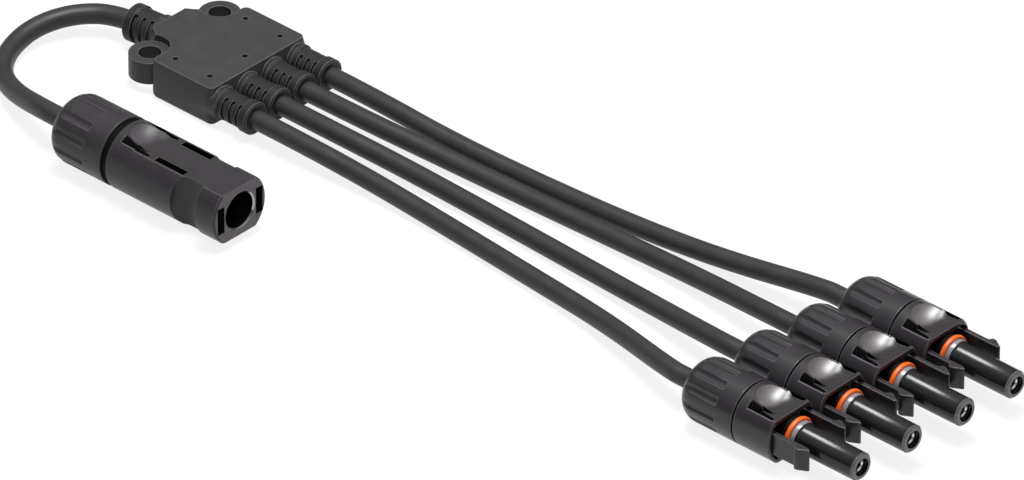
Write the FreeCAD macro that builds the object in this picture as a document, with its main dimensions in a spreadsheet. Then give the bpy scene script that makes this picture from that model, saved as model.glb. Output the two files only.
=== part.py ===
import FreeCAD, Part
import math
import os
from FreeCAD import Vector, Rotation, Placement
import Sketcher

# Solar splitter cable: a moulded block joins one input cable to four output cables. The input cable ends in a
# socket-fronted connector, each output cable in a connector with a long nose and two latch arms.
# Frame: X runs from the block to the output connectors, Y across the row, Z up. The origin is at the bottom centre
# of the block with its ears and boots. Millimetres and degrees.

DOC = FreeCAD.newDocument("solar_splitter")
SHEET = DOC.addObject("Spreadsheet::Sheet", "dims")

SIZES = (
    ("block_long", 35.0, "block along the cables"),
    ("block_wide", 38.2, "block across the cables"),
    ("block_thick", 12.0, "block height"),
    ("block_ahead", -0.4, "block centre, measured along the cables from the origin"),
    ("bevel_tall", 2.7, "height of the bevelled band under the top face"),
    ("bevel_lean", 13.5, "lean of the bevelled band, degrees"),
    ("low_round", 1.8, "rounding of the block's lower edges"),
    ("corner_round", 2.2, "front corners of the block, radius"),
    ("wrap_round", 2.4, "corners of the block beside the ears, radius"),
    ("wrap_ahead", 4.8, "sides of the block, start ahead of the screw holes"),
    ("tongue_wide", 13.4, "width of the input end between the ears"),
    ("shoulder_wide", 17.0, "width where the input end meets the ears' reliefs"),
    ("shoulder_back", 2.8, "length of the slanted shoulders at the input end"),
    ("ear_hole_rad", 3.2, "screw holes, radius"),
    ("ear_rad", 5.9, "ears, outer radius"),
    ("relief_rad", 5.7, "round relief over and under each ear, radius"),
    ("ear_span", 27.6, "distance between the screw holes"),
    ("ear_ahead", -11.3, "screw holes, measured along the cables"),
    ("ear_low", 3.1, "underside of the ears"),
    ("ear_top", 9.8, "top of the ears"),
    ("pin_rad", 0.85, "small moulding holes in the top face, radius"),
    ("pin_deep", 1.6, "small moulding holes, depth"),
    ("cord_level", 6.4, "height of the cables in the block"),
    ("boot_rad", 4.75, "output boots, radius of the end flange and of the root"),
    ("boot_long", 12.6, "output boots, length outside the block"),
    ("boot_pitch", 9.8, "distance between output boots"),
    ("boot_in_rad", 5.5, "input boot, radius of the end flange and of the root"),
    ("boot_in_long", 11.4, "input boot, length outside the block"),
    ("boot_in_lean", 5.0, "the input boot leans sideways with its cable, degrees"),
    ("lean_from", 9.0, "distance of the lean's pivot behind the origin"),
    ("input_sheath", 15.5, "start of the input cable's sheath, from the lean's pivot"),
    ("boot_root", 3.0, "depth to which each boot starts inside the block"),
    ("root_long", 1.2, "plain root of a boot at the block"),
    ("rib_step", 0.45, "a boot's ribbed part lies this much lower"),
    ("slit_wide", 1.25, "slits that make the boots flexible, width"),
    ("slit_deep", 1.0, "slits, depth"),
    ("slit_pitch", 2.7, "distance between slits"),
    ("slit_span", 128.0, "slits, angle that each covers, degrees"),
    ("flange_long", 2.9, "plain end flange of a boot"),
    ("cord_out_rad", 2.8, "output cables, radius"),
    ("cord_in_rad", 2.9, "input cable, radius"),
    ("cord_seat", 7.0, "length of each cable inside its boot"),
    ("slip", 0.05, "clearance of a sliding or pressed piece"),
    ("elbow_room", 0.4, "extra room at the bend of the input cable's bore"),
    ("splice_long", 8.0, "copper splice along the cables"),
    ("splice_tall", 3.6, "copper splice, height"),
    ("barrel_rad", 2.1, "crimp barrels with the stripped cores, radius"),
    ("out_axis", 9.35, "output connectors, height of the axis"),
    ("nut_rad", 9.3, "output cap nuts, radius"),
    ("nut_long", 20.0, "output cap nuts, length"),
    ("nut_bore", 7.7, "output cap nuts, radius of the threaded bore"),
    ("nut_mouth", 3.5, "output cap nuts, radius of the opening for the cable"),
    ("nut_round", 3.0, "rounding at the back of a cap nut"),
    ("flute_deep", 0.55, "flutes of a cap nut, depth"),
    ("flute_rad", 1.8, "flutes of a cap nut, radius of their hollow"),
    ("in_flute_turn", 8.6, "turn of the input nut's flutes, degrees"),
    ("flute_long", 14.0, "flutes of a cap nut, length"),
    ("cable_in_gland", 3.0, "length of a cable inside the threaded spigot"),
    ("seam", 0.3, "gap between a cap nut and its housing"),
    ("thread_start", 8.0, "back end of the threaded spigot, from the back of the nut"),
    ("barrel_out_rad", 9.3, "output housings, radius"),
    ("front_out", 33.4, "front face of an output housing, from the back of the nut"),
    ("flat_top", 6.4, "top flat of an output housing, above the axis"),
    ("flat_low", 7.0, "bottom flat of an output housing, below the axis"),
    ("flat_long", 9.6, "length of the bottom flat"),
    ("bowl_at", 27.5, "middle of the thumb hollow, from the back of the nut"),
    ("bowl_rad", 4.9, "thumb hollow, radius of its rim"),
    ("bowl_curve", 2.9, "radius of the curve from the top flat to the hollow's rim"),
    ("slot_from", 23.5, "slots beside the hollow, back end, from the back of the nut"),
    ("slot_to", 32.3, "slots beside the hollow, front end"),
    ("slot_in", 4.6, "slots, inner edge at their back end"),
    ("slot_tip", 1.1, "slots, width at their front end"),
    ("slot_out", 6.75, "slots, outer edge"),
    ("slot_deep", 2.6, "slots, depth below the flat"),
    ("cavity_deep", 4.4, "depth of the front cavity round the nose"),
    ("nose_base_rad", 4.9, "base of the nose, radius"),
    ("nose_rad", 4.0, "nose, radius"),
    ("collar_rad", 4.5, "collar ahead of the sealing ring, radius"),
    ("nose_long", 24.4, "nose, length ahead of the front face"),
    ("contact_rad", 2.5, "contacts, radius"),
    ("ring_thick", 1.3, "sealing ring, thickness"),
    ("arm_near", 6.5, "inner face of a latch arm, from the middle"),
    ("arm_thick", 1.3, "latch arms, thickness"),
    ("arm_half", 3.3, "latch arms, half height"),
    ("arm_long", 12.3, "latch arms, length ahead of the front face"),
    ("barb", 1.1, "step of a latch arm's barb"),
    ("arm_root_rad", 0.95, "rounded root of a latch arm, radius"),
    ("in_axis", 10.3, "input connector, height of the axis"),
    ("in_rad", 10.1, "input connector, radius"),
    ("in_nut_long", 20.6, "input cap nut, length"),
    ("in_bore", 8.5, "input cap nut, radius of the threaded bore"),
    ("in_mouth", 3.7, "input cap nut, radius of the opening for the cable"),
    ("in_ring_long", 1.9, "width of the ring gap between the input nut and its housing"),
    ("in_front", 63.4, "front face of the input housing, from the back of the nut"),
    ("in_flat", 7.6, "flats of the input housing, from the axis"),
    ("in_flat_long", 33.0, "length of the input housing's bottom flat"),
    ("in_bowl_at", 30.4, "input housing, middle of the thumb hollow"),
    ("in_bowl_rad", 5.4, "input housing, radius of the hollow's rim"),
    ("in_slot_from", 25.2, "input housing, slots beside the hollow, back end"),
    ("in_slot_to", 35.2, "input housing, slots beside the hollow, front end"),
    ("in_slot_in", 4.0, "input housing, inner edge of the slots at their back end"),
    ("in_slot_out", 6.2, "input housing, outer edge of the slots"),
    ("window_from", 37.5, "front pair of slots, back end"),
    ("window_long", 10.8, "front pair of slots, length"),
    ("window_wide", 1.5, "front pair of slots, width"),
    ("socket_rad", 5.3, "front bore of the input housing, radius"),
    ("socket_deep", 26.6, "front bore of the input housing, depth"),
    ("latch_slot_near", 6.1, "latch slots in the front block, inner face from the middle"),
    ("latch_slot_wide", 2.6, "latch slots, width"),
    ("latch_slot_half", 4.1, "latch slots, half height"),
    ("front_block", 7.4, "length of the front block"),
    ("waist_half", 6.0, "half width of the waist behind the front block"),
    ("waist_long", 5.0, "length of the straight part of the waist"),
    ("waist_curve", 4.2, "radius of the curve from the waist to the barrel"),
)


class Size:
    """A named size or a sum of sizes: its number together with its spreadsheet formula."""

    def __init__(self, number, formula):
        self.number = float(number)
        self.formula = formula

    def __add__(self, other):
        other = as_size(other)
        return Size(self.number + other.number, "(%s + %s)" % (self.formula, other.formula))

    def __sub__(self, other):
        other = as_size(other)
        return Size(self.number - other.number, "(%s - %s)" % (self.formula, other.formula))

    def __mul__(self, other):
        other = as_size(other)
        return Size(self.number * other.number, "(%s * %s)" % (self.formula, other.formula))

    def __truediv__(self, other):
        other = as_size(other)
        return Size(self.number / other.number, "(%s / %s)" % (self.formula, other.formula))

    def __neg__(self):
        return Size(-self.number, "(-1 * %s)" % self.formula)

    def __radd__(self, other):
        return as_size(other) + self

    def __rsub__(self, other):
        return as_size(other) - self

    __rmul__ = __mul__


def as_size(value):
    return value if isinstance(value, Size) else Size(value, "%.6g" % value)


class Table:
    """The spreadsheet's cells as attributes."""


D = Table()
for row, (name, number, note) in enumerate(SIZES, 1):
    SHEET.set("A%d" % row, name)
    SHEET.set("B%d" % row, "%g" % number)
    SHEET.set("C%d" % row, note)
    SHEET.setAlias("B%d" % row, name)
    setattr(D, name, Size(number, "dims." + name))
DOC.recompute()


def bind(thing, prop, size):
    """Sets a property from a size and keeps it bound to the spreadsheet."""
    size = as_size(size)
    if "." not in prop:
        setattr(thing, prop, size.number)
    thing.setExpression(prop, size.formula)


def place(thing, x=0, y=0, z=0):
    """Binds an object's position."""
    for axis, size in zip("xyz", (x, y, z)):
        bind(thing, "Placement.Base." + axis, size)


def new_body(label):
    body = DOC.addObject("PartDesign::Body", label)
    body.Label = label
    return body


def base_plane(body, role):
    return [item for item in body.Origin.OriginFeatures if getattr(item, "Role", "") == role][0]


def new_sketch(body, label, role, lift=None):
    sketch = body.newObject("Sketcher::SketchObject", label)
    sketch.AttachmentSupport = [(base_plane(body, role), "")]
    sketch.MapMode = "FlatFace"
    if lift is not None:
        bind(sketch, "AttachmentOffset.Base.z", lift)
    return sketch


def pin_along(sketch, geometry, point, across, size):
    """Fixes one sketch point by its distance from the origin along X, or across it."""
    size = as_size(size)
    if abs(size.number) < 1e-9:
        sketch.addConstraint(Sketcher.Constraint("PointOnObject", geometry, point, -1 if across else -2))
        return
    kind = "DistanceY" if across else "DistanceX"
    index = sketch.addConstraint(Sketcher.Constraint(kind, -1, 1, geometry, point, size.number))
    sketch.setExpression("Constraints[%d]" % index, size.formula)


def pin_point(sketch, geometry, point, x, y):
    pin_along(sketch, geometry, point, False, x)
    pin_along(sketch, geometry, point, True, y)


def polygon(sketch, corners):
    """Closed outline bound to the spreadsheet. A corner's third and fourth value are the centre of an arc that
    leads to the next corner."""
    spots = [Vector(as_size(corner[0]).number, as_size(corner[1]).number, 0) for corner in corners]
    first = sketch.GeometryCount
    count = len(spots)
    ends = []
    for i, corner in enumerate(corners):
        here, there = spots[i], spots[(i + 1) % count]
        if len(corner) == 2:
            sketch.addGeometry(Part.LineSegment(here, there), False)
            ends.append((1, 2))
            continue
        middle = Vector(as_size(corner[2]).number, as_size(corner[3]).number, 0)
        start, stop = here - middle, there - middle
        left_turn = start.x * stop.y - start.y * stop.x > 0
        if not left_turn:
            start, stop = stop, start
        low, high = math.atan2(start.y, start.x), math.atan2(stop.y, stop.x)
        if high < low:
            high += 2 * math.pi
        ring = Part.Circle(middle, Vector(0, 0, 1), start.Length)
        sketch.addGeometry(Part.ArcOfCircle(ring, low, high), False)
        ends.append((1, 2) if left_turn else (2, 1))
    for i in range(count):
        follower = (i + 1) % count
        sketch.addConstraint(Sketcher.Constraint(
            "Coincident", first + i, ends[i][1], first + follower, ends[follower][0]))
    for i, corner in enumerate(corners):
        pin_point(sketch, first + i, ends[i][0], corner[0], corner[1])
        if len(corner) > 2:
            pin_along(sketch, first + i, 3, False, corner[2])


def circle(sketch, x, y, radius):
    spot = Vector(as_size(x).number, as_size(y).number, 0)
    radius = as_size(radius)
    index = sketch.addGeometry(Part.Circle(spot, Vector(0, 0, 1), radius.number), False)
    pin_point(sketch, index, 3, x, y)
    rule = sketch.addConstraint(Sketcher.Constraint("Radius", index, radius.number))
    sketch.setExpression("Constraints[%d]" % rule, radius.formula)


def revolved(body, label, corners):
    """Turns an outline in X and radius about the X axis."""
    sketch = new_sketch(body, label + "_outline", "XZ_Plane")
    polygon(sketch, corners)
    feature = body.newObject("PartDesign::Revolution", label)
    feature.Profile = sketch
    feature.ReferenceAxis = (sketch, ["H_Axis"])
    feature.Angle = 360
    return feature


def padded(body, label, sketch, length, lean=None, middle=False):
    feature = body.newObject("PartDesign::Pad", label)
    feature.Profile = sketch
    bind(feature, "Length", length)
    if middle:
        feature.Midplane = True
    if lean is not None:
        bind(feature, "TaperAngle", lean)
    return feature


def pocketed(body, label, sketch, length, forward=False, middle=False):
    """Cuts against the sketch's normal, or along it where forward is set."""
    feature = body.newObject("PartDesign::Pocket", label)
    feature.Profile = sketch
    bind(feature, "Length", length)
    feature.Reversed = forward
    if middle:
        feature.Midplane = True
    return feature


def cut_box(body, label, low, high):
    """Takes a box out of the body; low and high are its opposite corners."""
    feature = body.newObject("PartDesign::SubtractiveBox", label)
    place(feature, *low)
    for prop, a, b in zip(("Length", "Width", "Height"), low, high):
        bind(feature, prop, as_size(b) - as_size(a))
    return feature


def polar(body, label, source, count, axis_role="X_Axis"):
    feature = body.newObject("PartDesign::PolarPattern", label)
    feature.Originals = [source]
    feature.Axis = (base_plane(body, axis_role), [""])
    feature.Angle = 360
    feature.Occurrences = count
    body.Tip = feature
    return feature


def round_ring(body, label, radius, x, size):
    """Rounds the circular edges of the given radius at the given X."""
    source = body.Tip
    DOC.recompute()
    names = []
    for i, edge in enumerate(source.Shape.Edges, 1):
        curve = edge.Curve
        if isinstance(curve, Part.Circle) and abs(curve.Radius - radius.number) < 1e-3:
            if abs(edge.BoundBox.XMax - as_size(x).number) < 1e-3 and edge.BoundBox.XLength < 1e-3:
                names.append("Edge%d" % i)
    feature = body.newObject("PartDesign::Fillet", label)
    feature.Base = (source, names)
    bind(feature, "Radius", size)
    return feature


PIECES = []


def finish(piece, x=0, y=0, z=0):
    place(piece, x, y, z)
    PIECES.append(piece)
    return piece


# Splitter block with its ears
def block_outline(sketch):
    back = D.block_ahead - D.block_long / 2
    front = D.block_ahead + D.block_long / 2
    side = D.block_wide / 2
    tongue = D.tongue_wide / 2
    shoulder = D.shoulder_wide / 2
    hole = D.ear_span / 2
    wrap = D.ear_ahead + D.wrap_ahead
    polygon(sketch, (
        (back, -tongue), (back + D.shoulder_back, -shoulder), (D.ear_ahead - 2.2, -hole + 3.8),
        (wrap, -side + D.wrap_round, wrap + D.wrap_round, -side + D.wrap_round), (wrap + D.wrap_round, -side),
        (front - D.corner_round, -side, front - D.corner_round, -side + D.corner_round),
        (front, -side + D.corner_round),
        (front, side - D.corner_round, front - D.corner_round, side - D.corner_round),
        (front - D.corner_round, side),
        (wrap + D.wrap_round, side, wrap + D.wrap_round, side - D.wrap_round), (wrap, side - D.wrap_round),
        (D.ear_ahead - 2.2, hole - 3.8), (back + D.shoulder_back, shoulder), (back, tongue)))


def make_block():
    body = new_body("block_moulding")
    base = new_sketch(body, "block_base_outline", "XY_Plane")
    block_outline(base)
    padded(body, "block_base", base, D.block_thick - D.bevel_tall)
    band = new_sketch(body, "block_band_outline", "XY_Plane", D.block_thick - D.bevel_tall)
    block_outline(band)
    padded(body, "block_band", band, D.bevel_tall, lean=-D.bevel_lean)
    DOC.recompute()
    source = body.Tip
    low = [
        "Edge%d" % i for i, edge in enumerate(source.Shape.Edges, 1)
        if edge.BoundBox.ZMax < 1e-3
    ]
    rounded = body.newObject("PartDesign::Fillet", "block_low_round")
    rounded.Base = (source, low)
    bind(rounded, "Radius", D.low_round)
    relief = new_sketch(body, "relief_outline", "XY_Plane")
    for side in (-1, 1):
        circle(relief, D.ear_ahead, side * D.ear_span / 2, D.relief_rad)
    pocketed(body, "ear_relief", relief, D.block_thick + 1, forward=True)
    ears = new_sketch(body, "ear_outline", "XY_Plane", D.ear_low)
    for side in (-1, 1):
        circle(ears, D.ear_ahead, side * D.ear_span / 2, D.ear_rad)
    padded(body, "ears", ears, D.ear_top - D.ear_low)
    holes = new_sketch(body, "ear_hole_outline", "XY_Plane")
    for side in (-1, 1):
        circle(holes, D.ear_ahead, side * D.ear_span / 2, D.ear_hole_rad)
    pocketed(body, "ear_holes", holes, D.block_thick + 1, forward=True)
    pins = new_sketch(body, "pin_hole_outline", "XY_Plane", D.block_thick)
    for x, y in ((-1.6, -13.8), (11.4, -13.8), (11.4, 0), (-1.6, 13.8), (11.4, 13.8)):
        circle(pins, x, y, D.pin_rad)
    pocketed(body, "pin_holes", pins, D.pin_deep)
    return body


def make_boot(label, radius, length):
    """One ribbed boot along X from inside the block to its end flange, with slits at both sides."""
    body = new_body(label)
    revolved(body, label + "_sleeve", (
        (-D.boot_root, 0), (length - 0.5, 0), (length, 0.5), (length, radius - 0.5),
        (length - 0.5, radius), (length - D.flange_long, radius), (length - D.flange_long, radius - D.rib_step),
        (D.root_long, radius - D.rib_step), (D.root_long, radius), (-D.boot_root, radius)))
    first = length - D.flange_long - D.slit_wide
    sketch = new_sketch(body, label + "_slit_outline", "XY_Plane")
    polygon(sketch, (
        (first, radius - D.rib_step - D.slit_deep), (first + D.slit_wide, radius - D.rib_step - D.slit_deep),
        (first + D.slit_wide, radius + 1), (first, radius + 1)))
    slit = body.newObject("PartDesign::Groove", label + "_slit")
    slit.Profile = sketch
    slit.ReferenceAxis = (sketch, ["H_Axis"])
    bind(slit, "Angle", D.slit_span)
    slit.Midplane = True
    many = body.newObject("PartDesign::MultiTransform", label + "_slits")
    many.Originals = [slit]
    mirror = DOC.addObject("PartDesign::Mirrored", label + "_other_side")
    mirror.MirrorPlane = (base_plane(body, "XZ_Plane"), [""])
    row = DOC.addObject("PartDesign::LinearPattern", label + "_row")
    row.Direction = (base_plane(body, "X_Axis"), [""])
    row.Reversed = True
    row.Occurrences = 3
    bind(row, "Length", D.slit_pitch * 2)
    many.Transformations = [mirror, row]
    body.Tip = many
    return body


def lean_side(distance):
    """Sideways shift of the leaning boot's axis at a distance behind its pivot, as a size."""
    return Size(
        -distance.number * math.tan(math.radians(D.boot_in_lean.number)),
        "(-1 * %s * tan(dims.boot_in_lean))" % distance.formula)


def lean_rod(label, radius, length):
    """Cylinder from the lean's pivot along the leaning boot."""
    rod = DOC.addObject("Part::Cylinder", label)
    bind(rod, "Radius", radius)
    bind(rod, "Height", length)
    lean = math.radians(D.boot_in_lean.number)
    rod.Placement = Placement(
        Vector(0, 0, 0), Rotation(Vector(0, 0, 1), Vector(-math.cos(lean), -math.sin(lean), 0)))
    place(rod, -D.lean_from, 0, D.cord_level)
    return rod


def tube_tool(label, radius, x0, x1, y, z):
    tool = DOC.addObject("Part::Cylinder", label)
    bind(tool, "Radius", radius)
    bind(tool, "Height", as_size(x1) - as_size(x0))
    tool.Placement = Placement(Vector(0, 0, 0), Rotation(Vector(0, 1, 0), 90))
    place(tool, x0, y, z)
    return tool


def make_splitter():
    block = make_block()
    front = D.block_ahead + D.block_long / 2
    back = D.block_ahead - D.block_long / 2
    solids = [block]
    tools = []
    for i in range(4):
        y = D.boot_pitch * (i - 1.5)
        boot = make_boot("output_boot_%d" % (i + 1), D.boot_rad, D.boot_long)
        place(boot, front, y, D.cord_level)
        solids.append(boot)
        tools.append(tube_tool(
            "output_bore_%d" % (i + 1), D.cord_out_rad + D.slip, D.splice_long / 2,
            front + D.boot_long + 1, y, D.cord_level))
    boot = make_boot("input_boot", D.boot_in_rad, D.boot_in_long)
    boot.Placement = Placement(Vector(0, 0, 0), Rotation(Vector(0, 0, 1), 180 + D.boot_in_lean.number))
    boot.setExpression("Placement.Rotation.Angle", "(180 + dims.boot_in_lean) * 1deg")
    place(boot, back, lean_side(-back - D.lean_from), D.cord_level)
    solids.append(boot)
    whole = DOC.addObject("Part::MultiFuse", "splitter_solid")
    whole.Shapes = solids
    tools.append(lean_rod("input_bore", D.cord_in_rad + D.slip, D.boot_in_long - back))
    tools.append(tube_tool(
        "input_bore_inner", D.cord_in_rad + D.slip, -D.lean_from - 0.3, -D.splice_long / 2, 0, D.cord_level))
    elbow = DOC.addObject("Part::Sphere", "input_bore_elbow")
    bind(elbow, "Radius", D.cord_in_rad + D.elbow_room)
    place(elbow, -D.lean_from, 0, D.cord_level)
    tools.append(elbow)
    room = DOC.addObject("Part::Box", "splice_room")
    bind(room, "Length", D.splice_long + D.slip * 2)
    bind(room, "Width", D.boot_pitch * 3 + D.barrel_rad * 2)
    bind(room, "Height", D.splice_tall + D.slip * 2)
    place(room, -D.splice_long / 2 - D.slip, -D.boot_pitch * 1.5 - D.barrel_rad,
          D.cord_level - D.splice_tall / 2 - D.slip)
    tools.append(room)
    hollow = DOC.addObject("Part::MultiFuse", "splitter_hollow")
    hollow.Shapes = tools
    piece = DOC.addObject("Part::Cut", "splitter_body")
    piece.Base = whole
    piece.Tool = hollow
    piece.Label = "splitter_body"
    PIECES.append(piece)


def make_splice():
    """Copper bar with a crimp barrel for each cable."""
    bar = DOC.addObject("Part::Box", "splice_bar")
    bind(bar, "Length", D.splice_long)
    bind(bar, "Width", D.boot_pitch * 3 + D.barrel_rad * 2 - D.slip * 2)
    bind(bar, "Height", D.splice_tall)
    place(bar, -D.splice_long / 2, -D.boot_pitch * 1.5 - D.barrel_rad + D.slip,
          D.cord_level - D.splice_tall / 2)
    solids = [bar]
    stop = D.block_ahead + D.block_long / 2 + D.boot_long - D.cord_seat
    for i in range(4):
        solids.append(tube_tool(
            "splice_barrel_%d" % (i + 1), D.barrel_rad, D.splice_long / 2, stop,
            D.boot_pitch * (i - 1.5), D.cord_level))
    solids.append(tube_tool("splice_barrel_in", D.barrel_rad, -D.lean_from, -D.splice_long / 2, 0, D.cord_level))
    solids.append(lean_rod("splice_core_in", D.barrel_rad, D.input_sheath))
    joint = DOC.addObject("Part::Sphere", "splice_elbow")
    bind(joint, "Radius", D.barrel_rad)
    place(joint, -D.lean_from, 0, D.cord_level)
    solids.append(joint)
    piece = DOC.addObject("Part::MultiFuse", "junction_splice")
    piece.Shapes = solids
    piece.Label = "junction_splice"
    PIECES.append(piece)


# Pieces of a connector, each along X from the back of its cap nut
def make_nut(label, radius, length, bore, mouth, count, turn, at):
    body = new_body(label)
    revolved(body, label + "_turned", (
        (0, mouth), (0, radius), (length, radius), (length, bore), (5.6, bore),
        (2.2, mouth + 0.6), (2.2, mouth)))
    round_ring(body, label + "_round", radius, 0, D.nut_round)
    sketch = new_sketch(body, label + "_flute_outline", "YZ_Plane")
    reach = radius + D.flute_rad - D.flute_deep
    angle = math.radians(turn.number)
    across = Size(-reach.number * math.sin(angle), "(-1 * %s * sin(%s))" % (reach.formula, turn.formula))
    up = Size(reach.number * math.cos(angle), "(%s * cos(%s))" % (reach.formula, turn.formula))
    circle(sketch, across, up, D.flute_rad)
    flute = pocketed(body, label + "_flute", sketch, D.flute_long, forward=True)
    polar(body, label + "_flutes", flute, count)
    finish(body, *at)


def make_cage(label, cable, inner, thread, bore, at):
    """Clamp cage: a flange against the spigot and six fingers round the cable."""
    body = new_body(label)
    revolved(body, label + "_turned", (
        (2.9, cable + 0.2), (2.9, cable + 1.1), (6.1, bore - 0.8), (thread, bore - 0.8),
        (thread, inner - 0.3), (thread + 1.4, inner - 0.3), (thread + 1.4, cable + 0.2)))
    slot = cut_box(body, label + "_slot", (2, -0.5, 0), (thread - 1.2, 0.5, bore))
    polar(body, label + "_slots", slot, 6)
    finish(body, *at)


def make_gland(label, cable, inner, start, stop, at):
    body = new_body(label)
    revolved(body, label + "_turned", (
        (start, cable + D.slip), (start, inner - 0.5), (start + 0.6, inner - D.slip),
        (stop, inner - D.slip), (stop, cable + D.slip)))
    finish(body, *at)


def top_flat(body, label, middle, rim, front, top):
    """Flat on top of a housing that rises at its back in a round hollow for the thumb."""
    cut_box(body, label + "_flat_top", (middle, -12, top), (front, 12, top + 6))
    sketch = new_sketch(body, label + "_bowl_outline", "XZ_Plane")
    bind(sketch, "AttachmentOffset.Base.x", middle)
    foot = rim - D.bowl_curve
    polygon(sketch, (
        (0, top), (foot, top, foot, top + D.bowl_curve), (rim, top + D.bowl_curve), (rim, top + 6), (0, top + 6)))
    bowl = body.newObject("PartDesign::Groove", label + "_bowl")
    bowl.Profile = sketch
    bowl.ReferenceAxis = (sketch, ["V_Axis"])
    bowl.Angle = 360


def side_slots(body, label, start, stop, inner, tip, outer, top):
    """A slot at each side of a flat; inner is its inner edge at the back, tip its width at the front."""
    sketch = new_sketch(body, label + "_outline", "XY_Plane", top + 4)
    for side in (-1, 1):
        corners = ((start, inner), (stop, outer - tip), (stop, outer), (start, outer))
        polygon(sketch, [(x, side * y) for x, y in corners])
    pocketed(body, label, sketch, 4 + D.slot_deep)


def make_output_housing(label, at):
    body = new_body(label)
    start, seam, front = D.thread_start, D.nut_long + D.seam, D.front_out
    floor = front - D.cavity_deep
    inner = D.contact_rad + D.slip
    tip = front + D.nose_long
    groove = front + 1.5
    revolved(body, label + "_turned", (
        (start, D.nut_bore - 2.1), (start, D.nut_bore - D.slip), (seam, D.nut_bore - D.slip),
        (seam, D.barrel_out_rad - 0.4), (seam + 0.4, D.barrel_out_rad),
        (front - 0.4, D.barrel_out_rad), (front, D.barrel_out_rad - 0.4), (front, D.nose_base_rad),
        (groove, D.nose_base_rad), (groove, D.collar_rad - 0.6),
        (groove + D.ring_thick + 0.1, D.collar_rad - 0.6), (groove + D.ring_thick + 0.1, D.collar_rad),
        (groove + D.ring_thick + 1.6, D.collar_rad), (groove + D.ring_thick + 2.3, D.nose_rad),
        (tip - 0.6, D.nose_rad), (tip, D.nose_rad - 0.6), (tip, inner), (start + 9, inner),
        (start + 9, D.nut_bore - 2.1)))
    top_flat(body, label, D.bowl_at, D.bowl_rad, front, D.flat_top)
    cut_box(body, label + "_flat_low", (front - D.flat_long, -12, -D.flat_low - 6), (front, 12, -D.flat_low))
    side_slots(body, label + "_slots", D.slot_from, D.slot_to, D.slot_in, D.slot_tip, D.slot_out, D.flat_top)
    cavity = new_sketch(body, label + "_cavity_outline", "YZ_Plane", front)
    side, top, low = D.barrel_out_rad - 1.35, D.flat_top - 1.2, -D.flat_low + 1.2
    half = D.arm_half + 0.4
    polygon(cavity, (
        (side, half), (side - 1.7, top), (-side + 1.7, top), (-side, half),
        (-side, -half), (-side + 1.7, low), (side - 1.7, low), (side, -half)))
    circle(cavity, 0, 0, D.nose_base_rad)
    pocketed(body, label + "_cavity", cavity, D.cavity_deep)
    seats = new_sketch(body, label + "_seat_outline", "XY_Plane")
    for hand in (-1, 1):
        circle(seats, floor + 0.3, hand * (D.arm_near + D.arm_thick / 2), D.arm_root_rad + D.slip)
    pocketed(body, label + "_seats", seats, D.arm_half * 2 + 0.6, middle=True)
    finish(body, *at)


def make_arm(label, hand, at):
    """Latch arm with a rounded root, a long plate and a barb; hand is 1 at the +Y side."""
    body = new_body(label)
    root = D.front_out - D.cavity_deep + 0.3
    near, far = D.arm_near, D.arm_near + D.arm_thick
    tip = D.front_out + D.arm_long
    sketch = new_sketch(body, label + "_outline", "XY_Plane")
    corners = [
        (root, near), (tip - 1.0, near), (tip, near + 0.4), (tip, near + 0.8), (tip - 2.8, far + D.barb),
        (tip - 3.8, far + D.barb), (tip - 4.6, far), (root, far)]
    polygon(sketch, [(x, hand * y) for x, y in corners])
    padded(body, label + "_plate", sketch, D.arm_half * 2, middle=True)
    pivot = new_sketch(body, label + "_root_outline", "XY_Plane")
    circle(pivot, root, hand * (near + D.arm_thick / 2), D.arm_root_rad)
    padded(body, label + "_root", pivot, D.arm_half * 2, middle=True)
    finish(body, *at)


def make_ring(label, centre, inner, thick, at):
    """Round sealing ring."""
    ring = DOC.addObject("Part::Torus", label)
    ring.Label = label
    bind(ring, "Radius1", inner + thick / 2)
    bind(ring, "Radius2", thick / 2)
    x, y, z = at
    ring.Placement = Placement(Vector(0, 0, 0), Rotation(Vector(0, 1, 0), 90))
    finish(ring, as_size(x) + centre, y, z)


def make_socket_contact(label, at):
    body = new_body(label)
    back = D.thread_start + D.cable_in_gland
    tip = D.front_out + D.nose_long - 1.4
    revolved(body, label + "_turned", (
        (back, 0), (back, D.contact_rad - 0.5), (D.thread_start + 10, D.contact_rad - 0.5),
        (D.thread_start + 10, D.contact_rad),
        (tip - 0.3, D.contact_rad), (tip, D.contact_rad - 0.3), (tip, 1.9), (tip - 0.4, 1.6),
        (tip - 12, 1.6), (tip - 12, 0)))
    finish(body, *at)


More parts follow.
